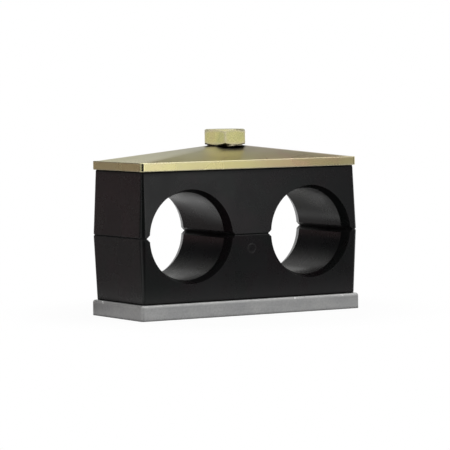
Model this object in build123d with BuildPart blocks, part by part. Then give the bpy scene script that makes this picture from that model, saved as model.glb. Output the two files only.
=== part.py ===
"""Twin tube clamp: weld plate, threaded bush, two moulded halves, dished cover plate and hex bolt.

Millimetres. X runs along the clamp, Y along the tubes and Z up. The origin is the middle of the
weld plate's underside.
"""

import os
from math import radians, tan

from build123d import *

# Tubes and the plastic round them
tube_d = 28.0  # outside diameter of each tube
middle_web = 17.0  # between the two bores
end_wall = 4.3  # from a bore to the end of the clamp, at the parting face
outer_wall = 7.0  # from a bore to the outer face of its half
body_w = 32.6  # along the tubes, at the parting face

# Clamp halves: two identical mouldings, face to face at the tube axes
draft_angle = 2.7  # degrees, on all four sides
corner_r = 1.8  # upright corners, at the parting face
outer_edge_r = 0.5  # round along the outer face
parting_bevel = 0.35  # bevel along the outside of the parting face
lead_depth = 3.6  # how far each flared mouth runs into a bore
lead_rise = 1.3  # how much a flared mouth widens the bore's radius
bore_edge_bevel = 1.1  # bevel where a bore meets the parting face
recess_gap = 0.5  # round the bush, in the recess of the outer face
recess_headroom = 1.0  # over the bush

# Bolt, M8 with a 13 mm hexagon
shank_d = 8.0
thread_pitch = 1.25
thread_l = 22.0
thread_clearance = 0.05  # radial, in the bush
bolt_gap = 0.5  # radial, in the halves and the cover plate
head_af = 13.0  # across flats
head_h = 5.3  # with the washer face
head_bevel = 0.35  # from the hexagon's flats in to the flat top
head_bevel_angle = 30.0  # degrees, on the corners of the hexagon
washer_face_inset = 0.7  # from the hexagon's flats in to the washer face
washer_face_h = 0.4
tip_bevel = 0.5
tip_rise = 4.1  # bolt tip above the weld plate's underside

# Weld plate
weld_t = 5.0
weld_end_overhang = 1.2  # past the clamp half's outer face
weld_side_overhang = 1.2
weld_corner_r = 1.2
weld_edge_r = 0.8

# Threaded bush
bush_d = 15.0
bush_h = 8.0  # above the weld plate
bush_shoulder = 1.5  # from the spigot in the weld plate out to the bush's side
bush_setback = 0.5  # the spigot ends this far above the underside
bush_mouth = 0.8  # countersink at each end of the thread

# Cover plate
cover_t = 2.8  # sheet thickness
cover_end_overhang = 0.65  # past the clamp half's outer face
cover_side_overhang = 0.8
cover_rise = 4.3  # from the rim up to the seat of the bolt head
cover_land = 1.8  # flat rim that bears on the clamp half
cover_corner_r = 1.2
cover_edge_r = 0.25
hip_r = 3.5  # round of the hips where they leave the rim's corners
seat_l = 12.0  # small flat on the crown, along X
seat_w = 7.0
seat_end_flat = 0.6  # straight part of the seat's short ends

# Plan sizes that follow
tube_r = tube_d / 2
tube_pitch = tube_d + middle_web
half_h = tube_r + outer_wall
body_l = tube_pitch + tube_d + 2 * end_wall
draft_inset = half_h * tan(radians(draft_angle))
outer_l = body_l - 2 * draft_inset
outer_w = body_w - 2 * draft_inset
weld_l = outer_l + 2 * weld_end_overhang
weld_w = outer_w + 2 * weld_side_overhang
cover_l = outer_l + 2 * cover_end_overhang
cover_w = outer_w + 2 * cover_side_overhang
bolt_hole_r = shank_d / 2 + bolt_gap
spigot_r = bush_d / 2 - bush_shoulder

# Heights that follow from the stack
parting_z = weld_t + half_h
body_top = parting_z + half_h
rim_top = body_top + cover_t
seat_z = rim_top + cover_rise
head_top = seat_z + head_h
bush_top = weld_t + bush_h
parting_plane = Plane.XY.offset(parting_z)

# The thread is a plain cylinder at its core diameter
thread_r = shank_d / 2 - 0.61343 * thread_pitch
tapped_r = thread_r + thread_clearance

# Tube bores: a straight wall with a flared mouth at each face, cut with a shape that runs out past it
run_out = 3.0
wall_l = body_w - 2 * lead_depth
mouth_r = tube_r + lead_rise * (lead_depth + run_out) / lead_depth
mouth_y = body_w / 2 + run_out


def bore_outline(grow):
    """Half of a bore's section in the parting plane, its wall moved outwards by grow."""
    Polyline(
        (0, -mouth_y),
        (mouth_r + grow, -mouth_y),
        (tube_r + grow, -wall_l / 2),
        (tube_r + grow, wall_l / 2),
        (mouth_r + grow, mouth_y),
        (0, mouth_y),
        close=True,
    )


os.makedirs("parts", exist_ok=True)


with BuildPart() as weld_plate:
    with BuildSketch():
        RectangleRounded(weld_l, weld_w, weld_corner_r)
    extrude(amount=weld_t)
    fillet(weld_plate.faces().sort_by(Axis.Z)[-1].outer_wire().edges(), weld_edge_r)
    Hole(spigot_r)
weld_plate.part.label = "weld_plate"
export_step(weld_plate.part, "parts/weld_plate.step")


with BuildPart() as threaded_bush:
    with BuildSketch(Plane.XZ):
        with BuildLine():
            Polyline(
                (tapped_r + bush_mouth, bush_setback),
                (spigot_r, bush_setback),
                (spigot_r, weld_t),
                (bush_d / 2, weld_t),
                (bush_d / 2, bush_top),
                (tapped_r + bush_mouth, bush_top),
                (tapped_r, bush_top - bush_mouth),
                (tapped_r, bush_setback + bush_mouth),
                close=True,
            )
        make_face()
    revolve(axis=Axis.Z)
threaded_bush.part.label = "threaded_bush"
export_step(threaded_bush.part, "parts/threaded_bush.step")


with BuildPart() as lower_clamp_half:
    # Drafted block, drawn at the parting face and extruded down to the weld plate
    with BuildSketch(Plane(origin=(0, 0, parting_z), x_dir=(1, 0, 0), z_dir=(0, 0, -1))):
        RectangleRounded(body_l, body_w, corner_r)
    extrude(amount=half_h, taper=draft_angle)
    fillet(lower_clamp_half.faces().sort_by(Axis.Z)[0].outer_wire().edges(), outer_edge_r)
    chamfer(lower_clamp_half.faces().sort_by(Axis.Z)[-1].outer_wire().edges(), parting_bevel)
    for bore_x in (-tube_pitch / 2, tube_pitch / 2):
        with BuildSketch(Plane(origin=(bore_x, 0, parting_z))):
            with BuildLine():
                bore_outline(0)
            make_face()
        revolve(axis=Axis((bore_x, 0, parting_z), (0, 1, 0)), mode=Mode.SUBTRACT)
        # Bevel where the bore and its mouths meet the parting face
        with BuildSketch(Plane(origin=(bore_x, 0, parting_z), x_dir=(1, 0, 0), z_dir=(0, 0, -1))):
            with BuildLine():
                bore_outline(bore_edge_bevel)
            make_face()
            mirror(about=Plane.YZ)
        extrude(amount=bore_edge_bevel, taper=45, mode=Mode.SUBTRACT)
    # Bolt hole, with a recess for the bush in the outer face
    with Locations(Plane(origin=(0, 0, weld_t), z_dir=(0, 0, -1))):
        CounterBoreHole(
            radius=bolt_hole_r,
            counter_bore_radius=bush_d / 2 + recess_gap,
            counter_bore_depth=bush_h + recess_headroom,
        )
lower_clamp_half.part.label = "lower_clamp_half"
export_step(lower_clamp_half.part, "parts/lower_clamp_half.step")


with BuildPart() as upper_clamp_half:
    mirror(lower_clamp_half.part, about=parting_plane)
upper_clamp_half.part.label = "upper_clamp_half"
export_step(upper_clamp_half.part, "parts/upper_clamp_half.step")


with BuildPart() as cover_plate:
    with BuildSketch(Plane.XY.offset(body_top)):
        RectangleRounded(cover_l, cover_w, cover_corner_r)
    extrude(amount=cover_t)
    fillet(cover_plate.edges().filter_by(Axis.Z, reverse=True), cover_edge_r)
    # Four facets rise from the rim to the seat and meet in soft hips
    with BuildSketch(Plane.XY.offset(rim_top)):
        RectangleRounded(cover_l - 2 * cover_edge_r, cover_w - 2 * cover_edge_r, hip_r)
    with BuildSketch(Plane.XY.offset(seat_z)) as seat:
        RectangleRounded(seat_l, seat_w, (seat_w - seat_end_flat) / 2)
    loft()
    # The underside follows the same slopes one sheet thickness lower
    with BuildSketch(Plane.XY.offset(body_top)):
        RectangleRounded(cover_l - 2 * cover_land, cover_w - 2 * cover_land, hip_r)
    with BuildSketch(Plane.XY.offset(seat_z - cover_t)):
        add(seat.sketch_local)
    loft(mode=Mode.SUBTRACT)
    Hole(bolt_hole_r)
cover_plate.part.label = "cover_plate"
export_step(cover_plate.part, "parts/cover_plate.step")


with BuildPart() as hex_bolt:
    hex_bottom = seat_z + washer_face_h
    flat_r = head_af / 2
    clear_r = flat_r * 1.2
    bevel_slope = tan(radians(head_bevel_angle))
    with BuildSketch(Plane.XY.offset(hex_bottom)):
        RegularPolygon(flat_r, 6, major_radius=False)
    extrude(amount=head_h - washer_face_h)
    # A turned outline bevels the hexagon's corners, above and below
    with BuildSketch(Plane.XZ):
        with BuildLine():
            Polyline(
                (0, hex_bottom),
                (flat_r, hex_bottom),
                (clear_r, hex_bottom + (clear_r - flat_r) * bevel_slope),
                (clear_r, head_top - (clear_r - flat_r + head_bevel) * bevel_slope),
                (flat_r - head_bevel, head_top),
                (0, head_top),
                close=True,
            )
        make_face()
    revolve(axis=Axis.Z, mode=Mode.INTERSECT)
    # Washer face, shank and thread
    with BuildSketch(Plane.XZ):
        with BuildLine():
            Polyline(
                (0, tip_rise),
                (thread_r - tip_bevel, tip_rise),
                (thread_r, tip_rise + tip_bevel),
                (thread_r, tip_rise + thread_l),
                (shank_d / 2, tip_rise + thread_l + shank_d / 2 - thread_r),
                (shank_d / 2, seat_z),
                (flat_r - washer_face_inset, seat_z),
                (flat_r - washer_face_inset, hex_bottom),
                (0, hex_bottom),
                close=True,
            )
        make_face()
    revolve(axis=Axis.Z)
hex_bolt.part.label = "hex_bolt"
export_step(hex_bolt.part, "parts/hex_bolt.step")
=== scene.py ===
"""Twin tube clamp: finishes, screw thread, stage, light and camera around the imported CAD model.

All lengths are in metres. The clamp stands on z = 0 with its length along x, and its front,
where the gate's ring shows on the lower half, looks towards -y.
"""

import math

import bmesh
import bpy
from mathutils import Matrix, Vector


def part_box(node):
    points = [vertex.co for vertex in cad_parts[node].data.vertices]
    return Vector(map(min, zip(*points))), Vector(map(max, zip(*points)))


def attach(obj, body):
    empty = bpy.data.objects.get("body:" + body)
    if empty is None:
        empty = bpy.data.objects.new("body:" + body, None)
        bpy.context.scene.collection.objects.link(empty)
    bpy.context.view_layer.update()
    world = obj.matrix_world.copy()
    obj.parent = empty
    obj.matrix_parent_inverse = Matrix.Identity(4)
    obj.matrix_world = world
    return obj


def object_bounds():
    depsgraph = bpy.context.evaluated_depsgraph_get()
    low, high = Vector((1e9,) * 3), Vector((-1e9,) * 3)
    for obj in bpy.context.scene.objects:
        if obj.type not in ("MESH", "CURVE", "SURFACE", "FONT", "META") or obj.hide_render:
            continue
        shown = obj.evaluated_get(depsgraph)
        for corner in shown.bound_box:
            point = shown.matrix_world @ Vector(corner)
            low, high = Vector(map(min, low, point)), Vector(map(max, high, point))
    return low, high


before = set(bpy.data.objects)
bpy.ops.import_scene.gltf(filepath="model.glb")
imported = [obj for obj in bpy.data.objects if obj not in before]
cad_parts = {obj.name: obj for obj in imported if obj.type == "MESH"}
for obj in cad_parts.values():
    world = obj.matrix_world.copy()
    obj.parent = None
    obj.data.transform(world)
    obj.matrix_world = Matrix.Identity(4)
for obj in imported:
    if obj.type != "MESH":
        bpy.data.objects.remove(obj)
cad_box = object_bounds()

MM = 0.001

# Heights and lengths that the finishes and the stage take from the CAD model.
FLOOR_Z = cad_box[0][2]
PLATE_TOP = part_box("weld_plate")[1][2]
PARTING_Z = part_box("upper_clamp_half")[0][2]
COVER_LOW, COVER_HIGH = (corner[2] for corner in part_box("cover_plate"))
COVER_SHEET = 2.8 * MM
RIM_TOP = COVER_LOW + COVER_SHEET

# The screw: M8 coarse, turned about the upright axis through the middle.
PITCH = 1.25 * MM
THREAD_MAJOR_R = 4.0 * MM
THREAD_ROOT_R = 3.233 * MM
CREST_FLAT = PITCH / 8
ROOT_SINK = 0.03 * MM
THREAD_L = 22 * MM
TIP_BEVEL = 0.5 * MM
STEPS_A_TURN = 40
MERGE_DISTANCE = 0.0001 * MM

# The camera: a long lens, low, from the left of the front. Its angles are in degrees.
CAMERA_AZIMUTH = -31.31
CAMERA_ELEVATION = 3.25
CAMERA_ROLL = -0.69
CAMERA_DISTANCE = 0.9471
CAMERA_LENS = 233.1
AIM = Vector((-0.29 * MM, 0, 28.2 * MM))

# The stage. A strength of 1 is white to the camera.
WORLD_FILL = 0.6
FLOOR_R = 3.0
FLOOR_SIDES = 96
SHADOW_WHITE = 0.94
SHADOW_INNER_R = 45 * MM
SHADOW_OUTER_R = 85 * MM
CARD_LIFT = 0.5 * MM
STUDIO = Vector((0, 0, AIM.z))


# ---- node helpers ----


def put(tree, socket, value):
    """Links a socket to another, or sets it."""
    if isinstance(value, bpy.types.NodeSocket):
        tree.links.new(value, socket)
    else:
        socket.default_value = value


def node(tree, kind, settings=None, inputs=None):
    """A new node with its settings, and its inputs by name or number."""
    made = tree.nodes.new(kind)
    for name, value in (settings or {}).items():
        setattr(made, name, value)
    for name, value in (inputs or {}).items():
        put(tree, made.inputs[name], value)
    return made


def maths(tree, operation, a, b=0.0, clamp=False):
    settings = {"operation": operation, "use_clamp": clamp}
    return node(tree, "ShaderNodeMath", settings, {0: a, 1: b}).outputs[0]


def plus(tree, a, b):
    return maths(tree, "ADD", a, b)


def minus(tree, a, b, clamp=False):
    return maths(tree, "SUBTRACT", a, b, clamp)


def times(tree, a, b, clamp=False):
    return maths(tree, "MULTIPLY", a, b, clamp)


def spread(tree, value, low, high, new_low=0.0, new_high=1.0, smooth=False):
    """Stretches a value from low..high to new_low..new_high, held at both ends."""
    settings = {"interpolation_type": "SMOOTHSTEP" if smooth else "LINEAR"}
    inputs = {
        "Value": value,
        "From Min": low,
        "From Max": high,
        "To Min": new_low,
        "To Max": new_high,
    }
    return node(tree, "ShaderNodeMapRange", settings, inputs).outputs[0]


def noise(tree, where, scale, detail=3.0, rough=0.5, lump=0.0):
    inputs = {
        "Vector": where,
        "Scale": scale,
        "Detail": detail,
        "Roughness": rough,
        "Distortion": lump,
    }
    return node(tree, "ShaderNodeTexNoise", inputs=inputs).outputs["Fac"]


def tint(tree, mask, first, second):
    """Mixes two colours by a mask."""
    inputs = {0: mask, 6: first, 7: second}
    return node(tree, "ShaderNodeMix", {"data_type": "RGBA"}, inputs).outputs[2]


def stretch(tree, where, scale, turn=(0.0, 0.0, 0.0)):
    """Object coordinates drawn out along an axis, for streaks and scratches."""
    inputs = {"Vector": where, "Scale": scale, "Rotation": turn}
    return node(tree, "ShaderNodeMapping", inputs=inputs).outputs[0]


def object_place(tree):
    return tree.nodes.new("ShaderNodeTexCoord").outputs["Object"]


def split(tree, vector):
    """The x, y and z of a vector."""
    return node(tree, "ShaderNodeSeparateXYZ", inputs={"Vector": vector}).outputs


def length(tree, vector):
    settings = {"operation": "LENGTH"}
    return node(tree, "ShaderNodeVectorMath", settings, {0: vector}).outputs["Value"]


def seen_directly(tree):
    """1 for rays from the camera, from a mirroring face and through glass, and 0 for the rest."""
    path = tree.nodes.new("ShaderNodeLightPath").outputs
    seen = maths(tree, "MAXIMUM", path["Is Camera Ray"], path["Is Glossy Ray"])
    return maths(tree, "MAXIMUM", seen, path["Is Transmission Ray"])


def new_group(name, takes, gives):
    """An empty shader group with number inputs and their defaults, and number outputs."""
    tree = bpy.data.node_groups.new(name, "ShaderNodeTree")
    for title, default in takes.items():
        made = tree.interface.new_socket(title, in_out="INPUT", socket_type="NodeSocketFloat")
        made.default_value = default
    for title in gives:
        tree.interface.new_socket(title, in_out="OUTPUT", socket_type="NodeSocketFloat")
    start = tree.nodes.new("NodeGroupInput")
    end = tree.nodes.new("NodeGroupOutput")
    return tree, start.outputs, end.inputs


def use(tree, group, **values):
    """Places a group. An input is given by its name in small letters: cloud_scale, depth."""
    made = tree.nodes.new("ShaderNodeGroup")
    made.node_tree = group
    for name, value in values.items():
        put(tree, made.inputs[name.replace("_", " ").title()], value)
    return made.outputs


# ---- effects that several finishes share ----

# The band that a noise mostly fills, which is stretched to 0..1.
NOISE_LOW = 0.3
NOISE_HIGH = 0.7
WAVE_TO_GRAIN = 40.0
# How far lines and scratches are drawn out along the length, and how scratches slant.
LINE_STRETCH = (0.035, 1.0, 1.0)
SCRATCH_STRETCH = (0.03, 1.0, 1.0)
SCRATCH_SLANT = (0.0, 0.0, math.radians(24))
# The gate's ring: its middle's distance from the parting face, its radius and its line's width.
GATE_OFFSET = 4.7 * MM
GATE_RADIUS = 1.4 * MM
GATE_WIDTH = 0.5 * MM


def make_edge_wear():
    """A mask of the outside edges, broken up as handling breaks them up, for wear and painted
    highlights on the edges.
    """
    inputs = {"Width": 0.6 * MM, "Reach": 0.35, "Raggedness": 0.5}
    tree, takes, gives = new_group("edge_wear_and_painted_highlight", inputs, ["Mask"])
    rounded = node(tree, "ShaderNodeBevel", {"samples": 4}, {"Radius": takes["Width"]})
    flat = tree.nodes.new("ShaderNodeNewGeometry")
    normals = {0: rounded.outputs[0], 1: flat.outputs["Normal"]}
    match = node(tree, "ShaderNodeVectorMath", {"operation": "DOT_PRODUCT"}, normals)
    bend = minus(tree, 1.0, match.outputs["Value"], clamp=True)
    edge = maths(tree, "DIVIDE", bend, takes["Reach"], clamp=True)
    ragged = noise(tree, object_place(tree), 900.0, 4.0, 0.6)
    broken = spread(tree, ragged, 0.35, 0.62)
    whole = minus(tree, 1.0, takes["Raggedness"])
    share = plus(tree, whole, times(tree, takes["Raggedness"], broken))
    put(tree, gives["Mask"], times(tree, edge, share, clamp=True))
    return tree


def make_mottle():
    """Broad clouds and fine specks for colour and gloss that change over a surface."""
    inputs = {"Cloud Scale": 60.0, "Speck Scale": 900.0}
    tree, takes, gives = new_group("mottle", inputs, ["Cloud", "Speck"])
    where = object_place(tree)
    cloud = noise(tree, where, takes["Cloud Scale"], 4.0, 0.55, 0.4)
    speck = noise(tree, where, takes["Speck Scale"], 3.0, 0.6)
    put(tree, gives["Cloud"], spread(tree, cloud, NOISE_LOW, NOISE_HIGH, smooth=True))
    put(tree, gives["Speck"], spread(tree, speck, NOISE_LOW, NOISE_HIGH))
    return tree


def make_grain():
    """Fine surface relief, with a slow wave in it: moulded grain, plating or mill finish."""
    tree, takes, gives = new_group("grain", {"Scale": 3000.0, "Waviness": 0.4}, ["Height"])
    where = object_place(tree)
    fine = noise(tree, where, takes["Scale"], 2.0, 0.6)
    wave_scale = maths(tree, "DIVIDE", takes["Scale"], WAVE_TO_GRAIN)
    wave = noise(tree, where, wave_scale, 2.0, 0.4)
    put(tree, gives["Height"], plus(tree, fine, times(tree, wave, takes["Waviness"])))
    return tree


def make_streaks():
    """Long fine lines along the length, and slanting scratches, as rolling and handling leave."""
    inputs = {"Line Scale": 1600.0, "Scratch Scale": 700.0}
    tree, takes, gives = new_group("rolling_streaks", inputs, ["Lines", "Scratches"])
    where = object_place(tree)
    along = stretch(tree, where, LINE_STRETCH)
    slanted = stretch(tree, where, SCRATCH_STRETCH, SCRATCH_SLANT)
    lines = noise(tree, along, takes["Line Scale"], 3.0, 0.6)
    scratches = noise(tree, slanted, takes["Scratch Scale"], 4.0, 0.7)
    put(tree, gives["Lines"], spread(tree, lines, NOISE_LOW, NOISE_HIGH))
    put(tree, gives["Scratches"], spread(tree, scratches, 0.62, 0.72))
    return tree


def make_crevice():
    """A mask of narrow gaps that light doesn't reach, such as under the bolt head, for painted
    shade.
    """
    inputs = {"Depth": 1.2 * MM, "Onset": 0.75, "Full": 0.3}
    tree, takes, gives = new_group("crevice", inputs, ["Mask"])
    reach = {"Distance": takes["Depth"]}
    shade = node(tree, "ShaderNodeAmbientOcclusion", {"samples": 6}, reach)
    dark = spread(tree, shade.outputs["AO"], takes["Full"], takes["Onset"], 1.0, 0.0)
    put(tree, gives["Mask"], dark)
    return tree


def make_gate_mark():
    """The ring that the mould's gate leaves at the middle of one side of each half.

    The halves are one moulding turned over, so the rings lie on opposite sides.
    """
    inputs = {
        "Parting Height": PARTING_Z,
        "Offset": GATE_OFFSET,
        "Radius": GATE_RADIUS,
        "Width": GATE_WIDTH,
    }
    tree, takes, gives = new_group("gate_mark", inputs, ["Ring"])
    x, y, z = split(tree, object_place(tree))
    rise = minus(tree, z, takes["Parting Height"])
    up = minus(tree, maths(tree, "ABSOLUTE", rise), takes["Offset"])
    away = maths(tree, "SQRT", plus(tree, times(tree, x, x), times(tree, up, up)))
    off = maths(tree, "ABSOLUTE", minus(tree, away, takes["Radius"]))
    ring = spread(tree, off, 0.0, takes["Width"], 1.0, 0.0, smooth=True)
    side = maths(tree, "GREATER_THAN", times(tree, rise, y), 0.0)
    put(tree, gives["Ring"], times(tree, ring, side))
    return tree


EDGE_WEAR = make_edge_wear()
MOTTLE = make_mottle()
GRAIN = make_grain()
STREAKS = make_streaks()
GATE_MARK = make_gate_mark()
CREVICE = make_crevice()


def start_material(name):
    material = bpy.data.materials.new(name)
    material.use_nodes = True
    tree = material.node_tree
    return material, tree, tree.nodes["Principled BSDF"]


def finish_material(tree, shader, colour, metallic, roughness, normal):
    put(tree, shader.inputs["Base Color"], colour)
    put(tree, shader.inputs["Metallic"], metallic)
    put(tree, shader.inputs["Roughness"], roughness)
    put(tree, shader.inputs["Normal"], normal)


def relief(tree, height, strength, depth, below=None):
    """A bump, laid over another one where below is given."""
    inputs = {"Height": height, "Strength": strength, "Distance": depth}
    if below is not None:
        inputs["Normal"] = below
    return node(tree, "ShaderNodeBump", inputs=inputs).outputs[0]


# ---- black moulded plastic ----

PLASTIC_GREENISH = (0.0034, 0.0048, 0.0042, 1)
PLASTIC_REDDISH = (0.0062, 0.0036, 0.0044, 1)
PLASTIC_CLOUD = (0.0026, 0.0026, 0.0029, 1)
# Edges rubbed a little grey, partly a painted highlight.
PLASTIC_RUBBED = (0.020, 0.019, 0.018, 1)
PLASTIC_GATE = (0.015, 0.014, 0.014, 1)
# Near black painted into narrow gaps as shade.
PLASTIC_GAP = (0.0004, 0.0004, 0.0004, 1)
PLASTIC_SPECULAR = 0.28


def make_black_plastic():
    """Satin black moulding: faintly cloudy, fine grain, edges rubbed a little grey with a painted
    highlight, painted shade in gaps.
    """
    material, tree, shader = start_material("black_moulded_plastic")
    mottle = use(tree, MOTTLE, cloud_scale=95.0, speck_scale=1500.0)
    wear = use(tree, EDGE_WEAR, width=0.5 * MM, reach=0.12, raggedness=0.55)["Mask"]
    crevice = use(tree, CREVICE, depth=1.8 * MM, onset=0.95, full=0.68)["Mask"]
    gate = use(tree, GATE_MARK)["Ring"]

    hue = noise(tree, object_place(tree), 70.0, 3.0, 0.6)
    hue = spread(tree, hue, 0.38, 0.62, smooth=True)
    colour = tint(tree, hue, PLASTIC_GREENISH, PLASTIC_REDDISH)
    colour = tint(tree, mottle["Cloud"], colour, PLASTIC_CLOUD)
    # Edges a little greyer: rubbing, and also a painted highlight.
    colour = tint(tree, times(tree, wear, 0.4), colour, PLASTIC_RUBBED)
    colour = tint(tree, times(tree, gate, 0.6), colour, PLASTIC_GATE)
    # Painted shade: the colour goes near black in narrow gaps, such as at the parting and along
    # the plate.
    colour = tint(tree, crevice, colour, PLASTIC_GAP)

    roughness = spread(tree, mottle["Cloud"], 0, 1, 0.23, 0.30)
    roughness = plus(tree, roughness, times(tree, mottle["Speck"], 0.02))
    roughness = plus(tree, roughness, times(tree, crevice, 0.5))

    grain = use(tree, GRAIN, scale=2600.0, waviness=1.2)["Height"]
    normal = relief(tree, grain, 0.07, 0.06 * MM)
    normal = relief(tree, gate, 0.35, 0.1 * MM, normal)

    finish_material(tree, shader, colour, 0.0, roughness, normal)
    put(tree, shader.inputs["Specular IOR Level"], PLASTIC_SPECULAR)
    return material


# ---- yellow zinc ----

# The film's hues as it thickens: olive, straw, rose and back to olive.
FILM_HUES = (
    (0.05, (0.50, 0.50, 0.22, 1)),
    (0.28, (0.66, 0.61, 0.26, 1)),
    (0.48, (0.64, 0.54, 0.27, 1)),
    (0.66, (0.62, 0.43, 0.26, 1)),
    (0.80, (0.56, 0.47, 0.24, 1)),
    (0.95, (0.46, 0.44, 0.19, 1)),
)
# How far clouds change the film's thickness, and how they are drawn out along the length.
FILM_CLOUD = 0.22
FILM_CLOUD_STRETCH = (0.5, 1.0, 1.0)
# The film drifts over this far to each side of the middle.
FILM_DRIFT_REACH = 40 * MM
# The left end is palest, a painted highlight, and the paleness starts here.
PALE_END_X = -42 * MM
PALE_START_X = -8 * MM
ZINC_PALE = (0.66, 0.62, 0.35, 1)
ZINC_CROWN = (0.46, 0.46, 0.41, 1)
ZINC_SPECK = (0.38, 0.35, 0.16, 1)
# Near black painted into narrow gaps as shade, such as under the bolt head.
ZINC_GAP = (0.012, 0.010, 0.006, 1)


def film_hue(tree, thickness):
    """The film's colour at a thickness between 0 and 1."""
    ramp = node(tree, "ShaderNodeValToRGB", inputs={"Fac": thickness})
    stops = ramp.color_ramp.elements
    for stop, (position, colour) in zip(stops, (FILM_HUES[0], FILM_HUES[-1])):
        stop.position = position
        stop.color = colour
    for position, colour in FILM_HUES[1:-1]:
        stops.new(position).color = colour
    return ramp.outputs[0]


def make_yellow_zinc(
    name, cloud_scale, film, film_drift, pale_end, crown_grey, edge_width, edge_colour
):
    """Yellow passivated zinc, whose film takes its hue from its thickness.

    The film drifts along the piece and in clouds, turns grey towards the crown where the sheet
    was drawn, and is rubbed pale on the edges, partly a painted highlight. A painted highlight
    makes it paler towards the left end, and narrow gaps get painted shade.
    """
    material, tree, shader = start_material(name)
    place = object_place(tree)
    x, _, z = split(tree, place)
    mottle = use(tree, MOTTLE, cloud_scale=cloud_scale, speck_scale=1400.0)
    streaks = use(tree, STREAKS, line_scale=1600.0, scratch_scale=700.0)
    wear = use(tree, EDGE_WEAR, width=edge_width, reach=0.08, raggedness=0.35)["Mask"]
    crevice = use(tree, CREVICE, depth=1.6 * MM, onset=0.85, full=0.45)["Mask"]

    drift = spread(tree, x, -FILM_DRIFT_REACH, FILM_DRIFT_REACH, -0.5, 0.5)
    drift = times(tree, drift, film_drift)
    cloud_place = stretch(tree, place, FILM_CLOUD_STRETCH)
    cloud = noise(tree, cloud_place, cloud_scale * 0.7, 4.0, 0.6, 0.6)
    cloud = spread(tree, cloud, NOISE_LOW, NOISE_HIGH, -FILM_CLOUD, FILM_CLOUD)
    thickness = plus(tree, plus(tree, cloud, drift), film)

    # Paler towards the left end: a painted highlight. The clouds added to it are the film's own
    # patchiness.
    faded = spread(tree, x, PALE_END_X, PALE_START_X, pale_end, 0.0)
    faded = plus(tree, times(tree, mottle["Cloud"], 0.3), faded)
    drawn = spread(tree, z, RIM_TOP, COVER_HIGH, 0.0, crown_grey)

    colour = tint(tree, faded, film_hue(tree, thickness), ZINC_PALE)
    colour = tint(tree, drawn, colour, ZINC_CROWN)
    colour = tint(tree, times(tree, mottle["Speck"], 0.05), colour, ZINC_SPECK)
    # Edges paler: wear, and also a painted highlight.
    colour = tint(tree, times(tree, wear, 0.7), colour, edge_colour)
    # Painted shade: the colour goes dark in narrow gaps, such as under the bolt head.
    colour = tint(tree, times(tree, crevice, 0.95), colour, ZINC_GAP)

    roughness = spread(tree, mottle["Cloud"], 0, 1, 0.25, 0.30)
    roughness = plus(tree, roughness, times(tree, streaks["Scratches"], 0.03))
    roughness = plus(tree, roughness, times(tree, drawn, 0.12))

    grain = use(tree, GRAIN, scale=2600.0, waviness=0.8)["Height"]
    normal = relief(tree, grain, 0.006, 0.05 * MM)
    normal = relief(tree, streaks["Lines"], 0.008, 0.04 * MM, normal)

    finish_material(tree, shader, colour, 1.0, roughness, normal)
    return material


# ---- bare steel ----

STEEL_DARK = (0.265, 0.268, 0.27, 1)
STEEL_LIGHT = (0.33, 0.33, 0.325, 1)
STEEL_LINE = (0.40, 0.40, 0.395, 1)
STEEL_SPECK = (0.20, 0.20, 0.20, 1)
# The edges and the band under the top edge are painted lighter: wear, and also a painted
# highlight.
STEEL_WORN = (0.55, 0.55, 0.54, 1)
STEEL_RIM = (0.52, 0.52, 0.51, 1)
STEEL_NICK = (0.95, 0.95, 0.94, 1)
# Dark colour painted into narrow gaps as shade.
STEEL_GAP = (0.02, 0.02, 0.02, 1)
STEEL_METALLIC = 0.75
# The band under the plate's top edge where the rubbing and its painted highlight start, and where
# they are full.
RIM_START_Z = PLATE_TOP - 1.1 * MM
RIM_FULL_Z = PLATE_TOP - 0.3 * MM


def make_bare_steel():
    """Hot rolled weld plate, pickled: mid grey, streaked along its length.

    It is worn bright on its edges and rubbed bright along its top edge, both partly painted
    highlight, with near-white flecks along the top edge and painted shade in narrow gaps.
    """
    material, tree, shader = start_material("bare_rolled_steel")
    place = object_place(tree)
    mottle = use(tree, MOTTLE, cloud_scale=110.0, speck_scale=1500.0)
    streaks = use(tree, STREAKS, line_scale=1600.0, scratch_scale=700.0)
    wear = use(tree, EDGE_WEAR, width=1.2 * MM, reach=0.10, raggedness=0.3)["Mask"]
    crevice = use(tree, CREVICE, depth=1.2 * MM, onset=0.85, full=0.5)["Mask"]

    rim = spread(tree, split(tree, place)["Z"], RIM_START_Z, RIM_FULL_Z, smooth=True)
    knocks = noise(tree, place, 260.0, 4.0, 0.7)
    rubbed = times(tree, rim, spread(tree, knocks, 0.25, 0.55, 0.1, 0.5))
    nicked = times(tree, rim, spread(tree, knocks, 0.64, 0.70))

    colour = tint(tree, mottle["Cloud"], STEEL_DARK, STEEL_LIGHT)
    colour = tint(tree, times(tree, streaks["Lines"], 0.35), colour, STEEL_LINE)
    colour = tint(tree, times(tree, mottle["Speck"], 0.25), colour, STEEL_SPECK)
    # Edges lighter: wear, and also a painted highlight.
    colour = tint(tree, times(tree, wear, 0.65), colour, STEEL_WORN)
    # A lighter band along the top edge: rubbing, and also a painted highlight of the lit ledge.
    colour = tint(tree, rubbed, colour, STEEL_RIM)
    # Near-white flecks along the top edge.
    colour = tint(tree, nicked, colour, STEEL_NICK)
    # Painted shade: the colour goes dark in narrow gaps, such as where the body stands on the
    # plate.
    colour = tint(tree, crevice, colour, STEEL_GAP)

    roughness = spread(tree, mottle["Speck"], 0, 1, 0.46, 0.60)

    grain = use(tree, GRAIN, scale=2400.0, waviness=0.8)["Height"]
    normal = relief(tree, grain, 0.2, 0.06 * MM)
    normal = relief(tree, streaks["Lines"], 0.12, 0.05 * MM, normal)

    finish_material(tree, shader, colour, STEEL_METALLIC, roughness, normal)
    return material


# ---- turned steel ----

TURNED_DARK = (0.42, 0.42, 0.43, 1)
TURNED_LIGHT = (0.50, 0.50, 0.50, 1)
TURNED_WORN = (0.68, 0.68, 0.68, 1)


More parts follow.
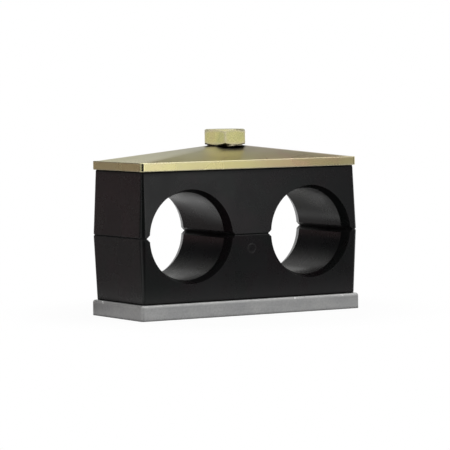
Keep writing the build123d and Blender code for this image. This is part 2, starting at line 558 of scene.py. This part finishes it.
def make_turned_steel():
    """The bush: turned bright steel with fine tool rings around the screw's axis."""
    material, tree, shader = start_material("turned_steel")
    mottle = use(tree, MOTTLE, cloud_scale=200.0, speck_scale=2000.0)
    wear = use(tree, EDGE_WEAR, width=0.3 * MM, reach=0.3, raggedness=0.3)["Mask"]

    x, y, z = split(tree, object_place(tree))
    across = node(tree, "ShaderNodeCombineXYZ", inputs={"X": x, "Y": y})
    from_axis = length(tree, across.outputs[0])
    rings = node(tree, "ShaderNodeCombineXYZ", inputs={"X": from_axis, "Y": z})
    tool_marks = noise(tree, rings.outputs[0], 4000.0, 2.0, 0.5)

    colour = tint(tree, mottle["Cloud"], TURNED_DARK, TURNED_LIGHT)
    # Edges lighter: wear, and also a painted highlight from the same edge mask.
    colour = tint(tree, times(tree, wear, 0.6), colour, TURNED_WORN)
    roughness = spread(tree, mottle["Speck"], 0, 1, 0.28, 0.40)
    normal = relief(tree, tool_marks, 0.25, 0.04 * MM)

    finish_material(tree, shader, colour, 1.0, roughness, normal)
    return material


# ---- the CAD nodes' finishes ----


def dress(name, material):
    """Gives a CAD node its finish."""
    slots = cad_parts[name].data.materials
    slots.clear()
    slots.append(material)


PLASTIC = make_black_plastic()
SHEET_ZINC = make_yellow_zinc(
    "yellow_zinc_sheet",
    cloud_scale=75.0,
    film=0.56,
    film_drift=0.5,
    pale_end=0.5,
    crown_grey=0.8,
    edge_width=0.7 * MM,
    edge_colour=(0.84, 0.81, 0.66, 1),
)
BOLT_ZINC = make_yellow_zinc(
    "yellow_zinc_bolt",
    cloud_scale=190.0,
    film=0.26,
    film_drift=0.0,
    pale_end=0.0,
    crown_grey=0.0,
    edge_width=1.6 * MM,
    edge_colour=(0.60, 0.53, 0.46, 1),
)

dress("lower_clamp_half", PLASTIC)
dress("upper_clamp_half", PLASTIC)
dress("cover_plate", SHEET_ZINC)
dress("hex_bolt", BOLT_ZINC)
dress("weld_plate", make_bare_steel())
dress("threaded_bush", make_turned_steel())


# ---- the screw's thread ----


def make_object(name, bm, material):
    """Makes a bmesh an object with one material and links it to the scene."""
    mesh = bpy.data.meshes.new(name)
    bm.to_mesh(mesh)
    bm.free()
    mesh.materials.append(material)
    made = bpy.data.objects.new(name, mesh)
    bpy.context.scene.collection.objects.link(made)
    return made


def screw_ridge(root_r, crest_r, low, rise):
    """One helical thread ridge with a flat crest, run out to nothing at both ends."""
    bm = bmesh.new()
    half_root = (PITCH - CREST_FLAT) / 2
    profile = [
        bm.verts.new((root_r, 0, low - half_root)),
        bm.verts.new((crest_r, 0, low - CREST_FLAT / 2)),
        bm.verts.new((crest_r, 0, low + CREST_FLAT / 2)),
        bm.verts.new((root_r, 0, low + half_root)),
    ]
    edges = [bm.edges.new(pair) for pair in zip(profile, profile[1:] + profile[:1])]
    turns = rise / PITCH
    steps = round(turns * STEPS_A_TURN)
    bmesh.ops.spin(
        bm,
        geom=profile + edges,
        cent=(0, 0, 0),
        axis=(0, 0, 1),
        dvec=(0, 0, rise / steps),
        angle=math.tau * turns,
        steps=steps,
        use_duplicate=False,
    )
    open_edges = [edge for edge in bm.edges if len(edge.link_faces) == 1]
    bmesh.ops.holes_fill(bm, edges=open_edges, sides=len(profile))
    bmesh.ops.remove_doubles(bm, verts=bm.verts, dist=MERGE_DISTANCE)

    # The crest sinks to the root over the first and last half turn.
    runout = PITCH / 2
    for vert in bm.verts:
        out = Vector((vert.co.x, vert.co.y))
        to_end = min(vert.co.z - low, low + rise - vert.co.z)
        height_kept = min(max(to_end / runout, 0), 1)
        radius = root_r + (out.length - root_r) * height_kept
        vert.co.x, vert.co.y = out.normalized() * radius

    # The operator can turn a whole helix inside out, so the sign of its volume decides.
    bmesh.ops.recalc_face_normals(bm, faces=bm.faces)
    if bm.calc_volume(signed=True) < 0:
        bmesh.ops.reverse_faces(bm, faces=bm.faces)
    return bm


bolt_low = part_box("hex_bolt")[0][2]
thread = screw_ridge(
    root_r=THREAD_ROOT_R - ROOT_SINK,
    crest_r=THREAD_MAJOR_R,
    low=bolt_low + TIP_BEVEL,
    rise=THREAD_L - TIP_BEVEL - PITCH,
)
bolt_thread = make_object("bolt_thread", thread, BOLT_ZINC)
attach(bolt_thread, "bolt")


# ---- stage and light ----

WHITE = (1, 1, 1, 1)
PAPER = (0.82, 0.82, 0.82, 1)
BLACK_CARD = (0.0, 0.0, 0.0, 1)
DARK_CARD = (0.06, 0.06, 0.065, 1)
GREY_CARD = (0.12, 0.12, 0.13, 1)
ROSE_CARD = (0.25, 0.165, 0.17, 1)
WARM_CARD = (0.24, 0.22, 0.22, 1)
MIDDLE_CARD = (0.27, 0.27, 0.26, 1)
PALE_CARD = (0.62, 0.62, 0.61, 1)


def towards(azimuth, elevation):
    """A unit vector from the clamp out to an azimuth and an elevation, in degrees.

    Azimuth 0 is the front and 90 the right end.
    """
    a, e = math.radians(azimuth), math.radians(elevation)
    return Vector((math.sin(a) * math.cos(e), -math.cos(a) * math.cos(e), math.sin(e)))


def facing(place, target):
    """A matrix at a place whose -Z looks at the target."""
    turn = (target - place).to_track_quat("-Z", "Y")
    return Matrix.Translation(place) @ turn.to_matrix().to_4x4()


def make_floor_material():
    """White paper: mostly its own white where it is seen, and the rest lit, for the shadow."""
    material, tree, shader = start_material("white_paper")
    shader.inputs["Base Color"].default_value = PAPER
    shader.inputs["Roughness"].default_value = 1.0
    shader.inputs["Specular IOR Level"].default_value = 0.0
    away = length(tree, object_place(tree))
    share = spread(
        tree, away, SHADOW_INNER_R, SHADOW_OUTER_R, SHADOW_WHITE, 1.0, smooth=True
    )
    white = node(tree, "ShaderNodeEmission", inputs={"Color": WHITE, "Strength": 1.0})
    inputs = {
        0: times(tree, seen_directly(tree), share),
        1: shader.outputs[0],
        2: white.outputs[0],
    }
    both = node(tree, "ShaderNodeMixShader", inputs=inputs)
    put(tree, tree.nodes["Material Output"].inputs["Surface"], both.outputs[0])
    return material


def make_floor():
    bm = bmesh.new()
    bmesh.ops.create_circle(bm, cap_ends=True, segments=FLOOR_SIDES, radius=FLOOR_R)
    floor = make_object("floor", bm, make_floor_material())
    floor.location.z = FLOOR_Z


def make_world():
    """White where it is seen, and dimmer where it lights the clamp."""
    world = bpy.data.worlds.new("studio")
    world.use_nodes = True
    tree = world.node_tree
    tree.nodes.clear()
    strength = spread(tree, seen_directly(tree), 0.0, 1.0, WORLD_FILL, 1.0)
    sky = node(tree, "ShaderNodeBackground", inputs={"Color": WHITE, "Strength": strength})
    node(tree, "ShaderNodeOutputWorld", inputs={"Surface": sky.outputs[0]})
    bpy.context.scene.world = world


def card_material(name, tone):
    """A flat tone that shows the same from every side and isn't sampled as a lamp."""
    material = bpy.data.materials.new(name)
    material.use_nodes = True
    tree = material.node_tree
    tree.nodes.clear()
    glow = node(tree, "ShaderNodeEmission", inputs={"Color": tone})
    node(tree, "ShaderNodeOutputMaterial", inputs={"Surface": glow.outputs[0]})
    material.cycles.emission_sampling = "NONE"
    return material


def card(name, place, target, width, tall, tone):
    """A studio flag that only the clamp's satin faces mirror."""
    bm = bmesh.new()
    size = Matrix.Diagonal((width, tall, 1, 1))
    bmesh.ops.create_grid(
        bm, x_segments=1, y_segments=1, size=0.5, matrix=facing(place, target) @ size
    )
    sheet = make_object(name, bm, card_material(name, tone))
    for ray in ("camera", "diffuse", "shadow", "transmission", "volume_scatter"):
        setattr(sheet, "visible_" + ray, False)


def standing_card(name, azimuth, elevation, distance, width, tall, tone):
    """A card around the clamp, facing it."""
    place = STUDIO + towards(azimuth, elevation) * distance
    card(name, place, STUDIO, width, tall, tone)


def floor_card(name, x, y, width, tall, tone):
    """A card that lies just over the floor."""
    place = Vector((x, y, FLOOR_Z + CARD_LIFT))
    card(name, place, place - Vector((0, 0, 1)), width, tall, tone)


def softbox(name, azimuth, elevation, distance, width, tall, power):
    lamp = bpy.data.lights.new(name, "AREA")
    lamp.shape = "RECTANGLE"
    lamp.size = width
    lamp.size_y = tall
    lamp.energy = power
    holder = bpy.data.objects.new(name, lamp)
    holder.matrix_world = facing(STUDIO + towards(azimuth, elevation) * distance, STUDIO)
    holder.visible_camera = False
    bpy.context.scene.collection.objects.link(holder)


make_floor()
make_world()

# Name, azimuth, elevation, distance, width, height, tone.
standing_card("camera_side_flag", -40, 10, 1.0, 1.5, 1.0, BLACK_CARD)
standing_card("left_flag", -112, 4, 0.9, 0.48, 0.7, BLACK_CARD)
standing_card("front_flag", 47, 4, 0.9, 0.85, 0.6, GREY_CARD)
standing_card("front_high_flag", 38, 37, 0.95, 0.6, 0.24, GREY_CARD)
standing_card("back_left_flag", -150, -1, 0.9, 0.84, 0.28, ROSE_CARD)
standing_card("back_left_high_flag", -162, 18.5, 0.9, 0.9, 0.34, DARK_CARD)
standing_card("back_high_flag", -165, 33, 0.9, 1.0, 0.15, MIDDLE_CARD)
standing_card("back_card", 150, 14, 1.0, 0.45, 0.3, PALE_CARD)
standing_card("overhead_flag", 140, 38, 0.9, 0.7, 0.4, MIDDLE_CARD)

# Name, x, y, length along x, length along y, tone.
floor_card("floor_flag_front", 0.17, -0.26, 0.5, 0.42, GREY_CARD)
floor_card("floor_flag_left", -0.27, 0.31, 0.52, 0.5, WARM_CARD)
floor_card("floor_flag_near_left", -0.08, 0.038, 0.046, 0.038, WARM_CARD)
floor_card("floor_flag_far_left", -0.3, 0.038, 0.39, 0.038, BLACK_CARD)
# floor_flag_back is a black sheet that stands in for the clamp's own shadow on the floor behind
# it: a painted shadow that only reflections show.
floor_card("floor_flag_back", 0.03, 0.030, 0.16, 0.022, BLACK_CARD)
floor_card("floor_flag_back_right", 0.042, 0.072, 0.07, 0.04, MIDDLE_CARD)
floor_card("floor_flag_camera", -0.38, -0.5, 0.72, 0.86, BLACK_CARD)

# Name, azimuth, elevation, distance, width, height, watts.
softbox("front_right_box", 16.5, 8, 0.45, 0.25, 0.2, 0.2)
softbox("top_box", 20, 70, 1.3, 1.6, 1.2, 9.0)


# ---- camera ----


def make_camera():
    camera = bpy.data.cameras.new("camera")
    camera.lens = CAMERA_LENS
    holder = bpy.data.objects.new("camera", camera)
    place = AIM + towards(CAMERA_AZIMUTH, CAMERA_ELEVATION) * CAMERA_DISTANCE
    roll = Matrix.Rotation(math.radians(CAMERA_ROLL), 4, "Z")
    holder.matrix_world = facing(place, AIM) @ roll
    bpy.context.scene.collection.objects.link(holder)
    bpy.context.scene.camera = holder


make_camera()
bpy.context.scene.view_settings.view_transform = "Standard"
